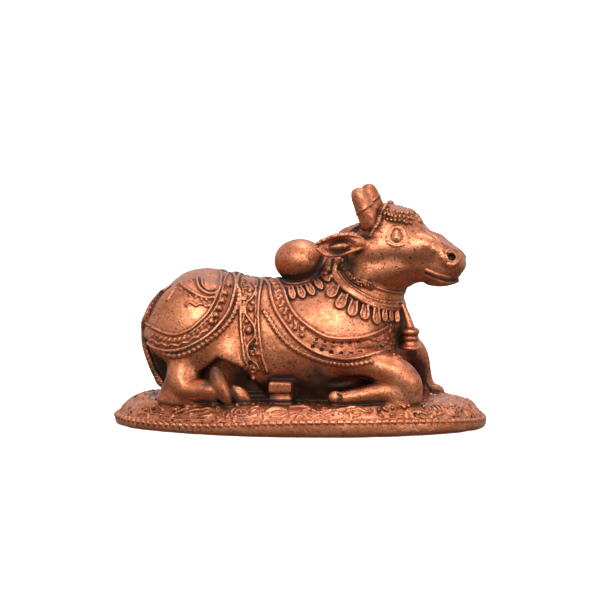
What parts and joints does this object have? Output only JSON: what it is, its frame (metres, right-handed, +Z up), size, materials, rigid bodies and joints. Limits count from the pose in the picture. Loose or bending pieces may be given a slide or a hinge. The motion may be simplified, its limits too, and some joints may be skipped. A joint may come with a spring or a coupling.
{
  "type": "nandi bull figure",
  "caption": "Small cast copper figure of a reclining bull with collar, bell, garlands and a blanket, on a low oval base with carved edge.",
  "frame": {"origin": "middle of the base's underside, on the floor", "axes": "+X from the tail to the muzzle, +Z up, so the right flank with the folded near legs faces -Y"},
  "size_m": [0.08, 0.0478, 0.0518],
  "materials": {
    "antique_copper": "antique copper: dark brown patina in the recesses, polished orange-pink on the high places"
  },
  "bodies": {
    "root": {"nandi_bull_figure": "antique_copper"}
  },
  "joints": []
}
